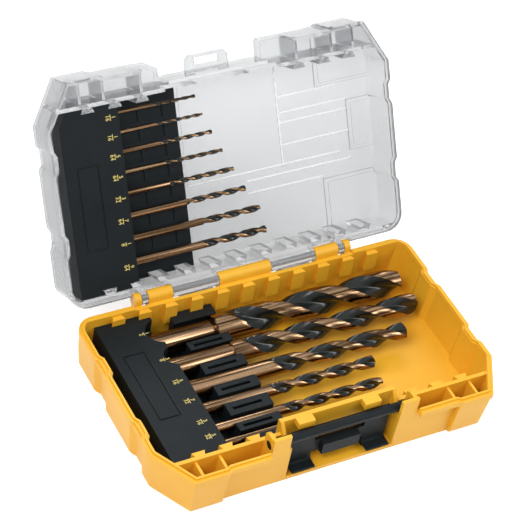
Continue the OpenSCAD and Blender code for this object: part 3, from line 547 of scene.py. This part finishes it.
def twist_drill(
    node, diameter, length, plain, half_lead, facing, place, shank=None, step=0.0, in_lid=False
):
    """A drill with a bronze shank and lands and black flutes, along X from its shank's end.

    Its shank is turned down to the diameter shank as far as step, and plain as far as plain. A
    flute faces the camera's side of the case where facing says.
    """
    radius = diameter / 2
    shank_r = (shank or diameter) / 2
    lead = 2 * half_lead
    chamfer = CHAMFER * diameter
    rings = [(0.0, shank_r - chamfer), (chamfer, shank_r)]
    if step:
        rings += [
            (step - 3 * NECK, shank_r),
            (step - 2 * NECK, shank_r - GROOVE),
            (step, shank_r - GROOVE),
            (step, radius - NECK),
            (step + NECK, radius),
        ]
    rings.append((plain, radius))
    flute_turn = 2 * math.pi * FLUTE.index(WEB) / ROUND
    phase = FACING - flute_turn - 2 * math.pi * (facing - plain) / lead
    name = node.replace("inch", "inch_ground")
    drill = turned_shank(name, rings, phase)
    flutes = twisted_flutes(name + "_flutes", radius, plain, length, lead, phase)
    work_on(flutes)
    drill.select_set(True)
    bpy.context.view_layer.objects.active = drill
    bpy.ops.object.join()
    bpy.ops.object.mode_set(mode="EDIT")
    bpy.ops.mesh.select_all(action="SELECT")
    bpy.ops.mesh.remove_doubles(threshold=WELD)
    bpy.ops.mesh.normals_make_consistent(inside=False)
    bpy.ops.object.mode_set(mode="OBJECT")
    name_piece(drill, name)
    drill.data.materials.append(bronze)
    drill.data.materials.append(black_oxide)
    for face in drill.data.polygons:
        low = off_axis(face.center) < LAND_EDGE * radius
        face.material_index = 1 if low and face.center.x > plain else 0
    work_on(drill)
    drill.location = Vector(place) * MM
    settle(drill)
    if in_lid:
        open_with_lid(drill)
    smooth(drill, GROUND_SHARP)
    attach(drill, node)
    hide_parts(node)


# All in mm: size, diameter, length, plain length, half lead, where a flute faces the camera's
# side, y of the axis, then the turned-down shank's diameter and length
LOWER_DRILLS = (
    ("1_2", 12.7, 142, 53.0, 29.0, 66.3, 32.6, 9.53, 47),
    ("3_8", 9.53, 130, 41.5, 23.0, 51.0, 17.9, 8.6, 36.5),
    ("5_16", 7.94, 116.5, 47, 20.0, 56.0, 4.4, None, 0),
    ("7_32", 5.56, 94, 42, 14.5, 47.0, -7.0, None, 0),
    ("3_16", 4.76, 91.5, 42, 12.3, 47.2, -18.2, None, 0),
    ("5_32", 3.97, 79.5, 38, 11.0, 43.0, -26.6, None, 0),
)
# All in mm: size, diameter, length, plain length, y of the axis on the closed lid
UPPER_DRILLS = (
    ("9_64_inch", 3.57, 74.5, 42.5, 35.4),
    ("1_8_inch", 3.18, 72.5, 43.5, 25.2),
    ("7_64_inch", 2.78, 66.5, 37, 15.1),
    ("3_32_inch", 2.38, 62, 30.5, 5.4),
    ("5_64_inch_a", 1.98, 57.5, 29.5, -3.8),
    ("5_64_inch_b", 1.98, 53.5, 28.5, -12.8),
    ("1_16_inch_a", 1.59, 50, 27, -21.2),
    ("1_16_inch_b", 1.59, 47.5, 26.5, -29.6),
)
# Where the shanks end along X, and the axes' height; the widest drill sits deeper in its socket
LOWER_START, DEEP_START, LOWER_AXIS = -56.6, -68.6, 11.5
UPPER_START, UPPER_AXIS = -57.6, 29.2
for size, diameter, length, plain, half_lead, facing, y, shank, step in LOWER_DRILLS:
    start = DEEP_START if size == "1_2" else LOWER_START
    twist_drill(
        "drill_bit_%s_inch" % size, diameter * MM, length * MM, plain * MM, half_lead * MM,
        facing * MM, (start, y, LOWER_AXIS), shank and shank * MM, step * MM,
    )
for size, diameter, length, plain, y in UPPER_DRILLS:
    twist_drill(
        "drill_bit_" + size, diameter * MM, length * MM, plain * MM,
        UPPER_LEAD * diameter * MM, 0.0, (UPPER_START, y, UPPER_AXIS), in_lid=True,
    )
bpy.data.objects.remove(drill_section)


# ---- size labels on the racks ----
# Height of a digit, over the text size that gives it
DIGIT_SHARE = 0.69
DIGIT_H = 1.75 * MM
# How far the digits' middles lie from the fraction's bar
LINE_REACH = 1.35 * MM
# How far the ink stands above and below its own plane
INK_H = 0.04 * MM
# The bar's width, the rounding of its edges, and its length: at its ends and for each digit
BAR_W, BAR_EDGE, BAR_ENDS, BAR_DIGIT = 0.3 * MM, 0.03 * MM, 0.75 * MM, 0.95 * MM


def digits(text, along):
    """Raised digits, their middle at along above the fraction's bar."""
    deselect_everything()
    bpy.ops.object.text_add(location=(0, along, 0))
    obj = bpy.context.object
    obj.data.body = text
    obj.data.align_x = "CENTER"
    obj.data.align_y = "CENTER"
    obj.data.size = DIGIT_H / DIGIT_SHARE
    obj.data.extrude = INK_H
    obj.data.resolution_u = 3
    bpy.ops.object.convert(target="MESH")
    settle(obj)
    return bpy.context.object


def fraction_bar(length):
    """The bar between two numbers, its edges rounded."""
    deselect_everything()
    bpy.ops.mesh.primitive_cube_add(size=1.0)
    obj = bpy.context.object
    bpy.ops.transform.resize(value=(length, BAR_W, 2 * INK_H))
    settle(obj)
    rounding = obj.modifiers.new("rounding", "BEVEL")
    rounding.width = BAR_EDGE
    rounding.segments = 2
    apply_modifiers(obj)
    return obj


def size_label(name, body, over, under, place, facing):
    """A stacked fraction whose digits read across the rack, in raised ink."""
    parts = [
        digits(over, LINE_REACH),
        digits(under, -LINE_REACH),
        fraction_bar(BAR_ENDS + BAR_DIGIT * max(len(over), len(under))),
    ]
    deselect_everything()
    for part in parts:
        part.select_set(True)
    bpy.context.view_layer.objects.active = parts[0]
    bpy.ops.object.join()
    label = name_piece(bpy.context.object, name, label_ink)
    label.matrix_world = Matrix.Translation(Vector(place) * MM) @ facing
    settle(label)
    if body == "lid":
        open_with_lid(label)
    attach(label, body)


# The digits' tops point along +X. They read towards -Y in the tray, and towards +Y on the rack
# of the closed lid.
IN_TRAY = Matrix(((0, 1, 0, 0), (-1, 0, 0, 0), (0, 0, 1, 0), (0, 0, 0, 1)))
IN_LID = Matrix(((0, 1, 0, 0), (1, 0, 0, 0), (0, 0, -1, 0), (0, 0, 0, 1)))
# The tray's numbers with their x and y, then the height of both racks' label faces and the x of
# the lid's numbers, in mm
LOWER_LABELS = (
    ("1", "2", -54.0, 34.6),
    ("3", "8", -52.0, 18.6),
    ("5", "16", -52.0, 5.7),
    ("7", "32", -52.0, -5.5),
    ("3", "16", -52.0, -17.4),
    ("5", "32", -52.0, -25.5),
)
LOWER_LABEL_Z, UPPER_LABEL_Z, UPPER_LABEL_X = 18.13, 23.17, -52.3
for over, under, x, y in LOWER_LABELS:
    size_label(
        "label_%s_%s" % (over, under), "tray", over, under, (x, y, LOWER_LABEL_Z), IN_TRAY
    )
for k, (size, *_, y) in enumerate(UPPER_DRILLS):
    over, under = size.split("_")[:2]
    size_label(
        "lid_label_%d_%s_%s" % (k + 1, over, under), "lid", over, under,
        (UPPER_LABEL_X, y, UPPER_LABEL_Z), IN_LID,
    )


# ---- floor, light and camera ----
def make_floor():
    """A pale floor, lit up where the camera, a reflection or the clear plastic shows it."""
    bpy.ops.mesh.primitive_plane_add(size=6.0, location=(0, 0, -0.0002))
    floor = bpy.context.object
    material = bpy.data.materials.new("pale_floor")
    material.use_nodes = True
    tree = material.node_tree
    tree.nodes.clear()
    out = tree.nodes.new("ShaderNodeOutputMaterial")
    diffuse = tree.nodes.new("ShaderNodeBsdfDiffuse")
    diffuse.inputs["Color"].default_value = (0.86, 0.86, 0.86, 1)
    lift = tree.nodes.new("ShaderNodeEmission")
    lift.inputs["Strength"].default_value = 0.42
    both = tree.nodes.new("ShaderNodeAddShader")
    path = tree.nodes.new("ShaderNodeLightPath")
    seen = tree.nodes.new("ShaderNodeMath")
    seen.operation = "MAXIMUM"
    seen_any = tree.nodes.new("ShaderNodeMath")
    seen_any.operation = "MAXIMUM"
    choose = tree.nodes.new("ShaderNodeMixShader")
    tree.links.new(path.outputs["Is Camera Ray"], seen.inputs[0])
    tree.links.new(path.outputs["Is Transmission Ray"], seen.inputs[1])
    tree.links.new(seen.outputs[0], seen_any.inputs[0])
    tree.links.new(path.outputs["Is Glossy Ray"], seen_any.inputs[1])
    tree.links.new(diffuse.outputs[0], both.inputs[0])
    tree.links.new(lift.outputs[0], both.inputs[1])
    tree.links.new(seen_any.outputs[0], choose.inputs["Fac"])
    tree.links.new(diffuse.outputs[0], choose.inputs[1])
    tree.links.new(both.outputs[0], choose.inputs[2])
    tree.links.new(choose.outputs[0], out.inputs["Surface"])
    name_piece(floor, "floor", material)


def make_world():
    """White where the camera sees it, and a sky from grey to white for everything else."""
    world = bpy.data.worlds.new("studio")
    bpy.context.scene.world = world
    world.use_nodes = True
    tree = world.node_tree
    tree.nodes.clear()
    out = tree.nodes.new("ShaderNodeOutputWorld")
    soft = tree.nodes.new("ShaderNodeBackground")
    plain = tree.nodes.new("ShaderNodeBackground")
    plain.inputs["Strength"].default_value = 1.0
    coords = tree.nodes.new("ShaderNodeTexCoord")
    parts = tree.nodes.new("ShaderNodeSeparateXYZ")
    ramp = tree.nodes.new("ShaderNodeValToRGB")
    set_ramp(ramp, 0.0, (0.25, 0.25, 0.25), 0.9, (0.95, 0.95, 0.95))
    path = tree.nodes.new("ShaderNodeLightPath")
    choose = tree.nodes.new("ShaderNodeMixShader")
    soft.inputs["Strength"].default_value = 0.75
    tree.links.new(coords.outputs["Generated"], parts.inputs["Vector"])
    tree.links.new(parts.outputs["Z"], ramp.inputs["Fac"])
    tree.links.new(ramp.outputs["Color"], soft.inputs["Color"])
    tree.links.new(path.outputs["Is Camera Ray"], choose.inputs["Fac"])
    tree.links.new(soft.outputs[0], choose.inputs[1])
    tree.links.new(plain.outputs[0], choose.inputs[2])
    tree.links.new(choose.outputs[0], out.inputs["Surface"])


def soft_box(name, place, aim, size, power, size_y=None):
    data = bpy.data.lights.new(name, "AREA")
    data.energy = power
    data.size = size
    if size_y:
        data.shape = "RECTANGLE"
        data.size_y = size_y
    light = bpy.data.objects.new(name, data)
    bpy.context.scene.collection.objects.link(light)
    light.location = place
    light.rotation_euler = (Vector(aim) - Vector(place)).to_track_quat("-Z", "Y").to_euler()


# The camera as it was solved from the photograph: its focal length and the picture's width in
# pixels, its place in mm, and the directions of its right side and its view
FOCAL_PIXELS, PICTURE_PIXELS, SENSOR_MM = 2088.48, 528, 36.0
CAMERA_PLACE = Vector((-369.8, -482.7, 655.2))
CAMERA_RIGHT = Vector((0.87977, -0.45157, 0.14859))
CAMERA_AHEAD = Vector((0.41809, 0.58618, -0.69397))


def make_camera():
    data = bpy.data.cameras.new("photo_camera")
    data.sensor_width = SENSOR_MM
    data.lens = FOCAL_PIXELS / PICTURE_PIXELS * SENSOR_MM
    data.clip_start = 0.05
    camera = bpy.data.objects.new("photo_camera", data)
    bpy.context.scene.collection.objects.link(camera)
    ahead = CAMERA_AHEAD.normalized()
    up = CAMERA_RIGHT.normalized().cross(ahead).normalized()
    right = ahead.cross(up).normalized()
    turn = Matrix((right, up, -ahead)).transposed().to_4x4()
    camera.matrix_world = Matrix.Translation(CAMERA_PLACE * MM) @ turn
    bpy.context.scene.camera = camera


make_floor()
make_world()
soft_box("key_light", (-0.55, -0.25, 0.85), (0, 0, 0.02), 0.5, 6.5)
soft_box("fill_light", (0.65, -0.45, 0.6), (0, 0, 0.02), 0.5, 3.0)
soft_box("rear_light", (0.1, 0.7, 0.7), (0, 0.02, 0.04), 0.7, 3.0, 0.25)
make_camera()
bpy.context.scene.view_settings.view_transform = "Standard"
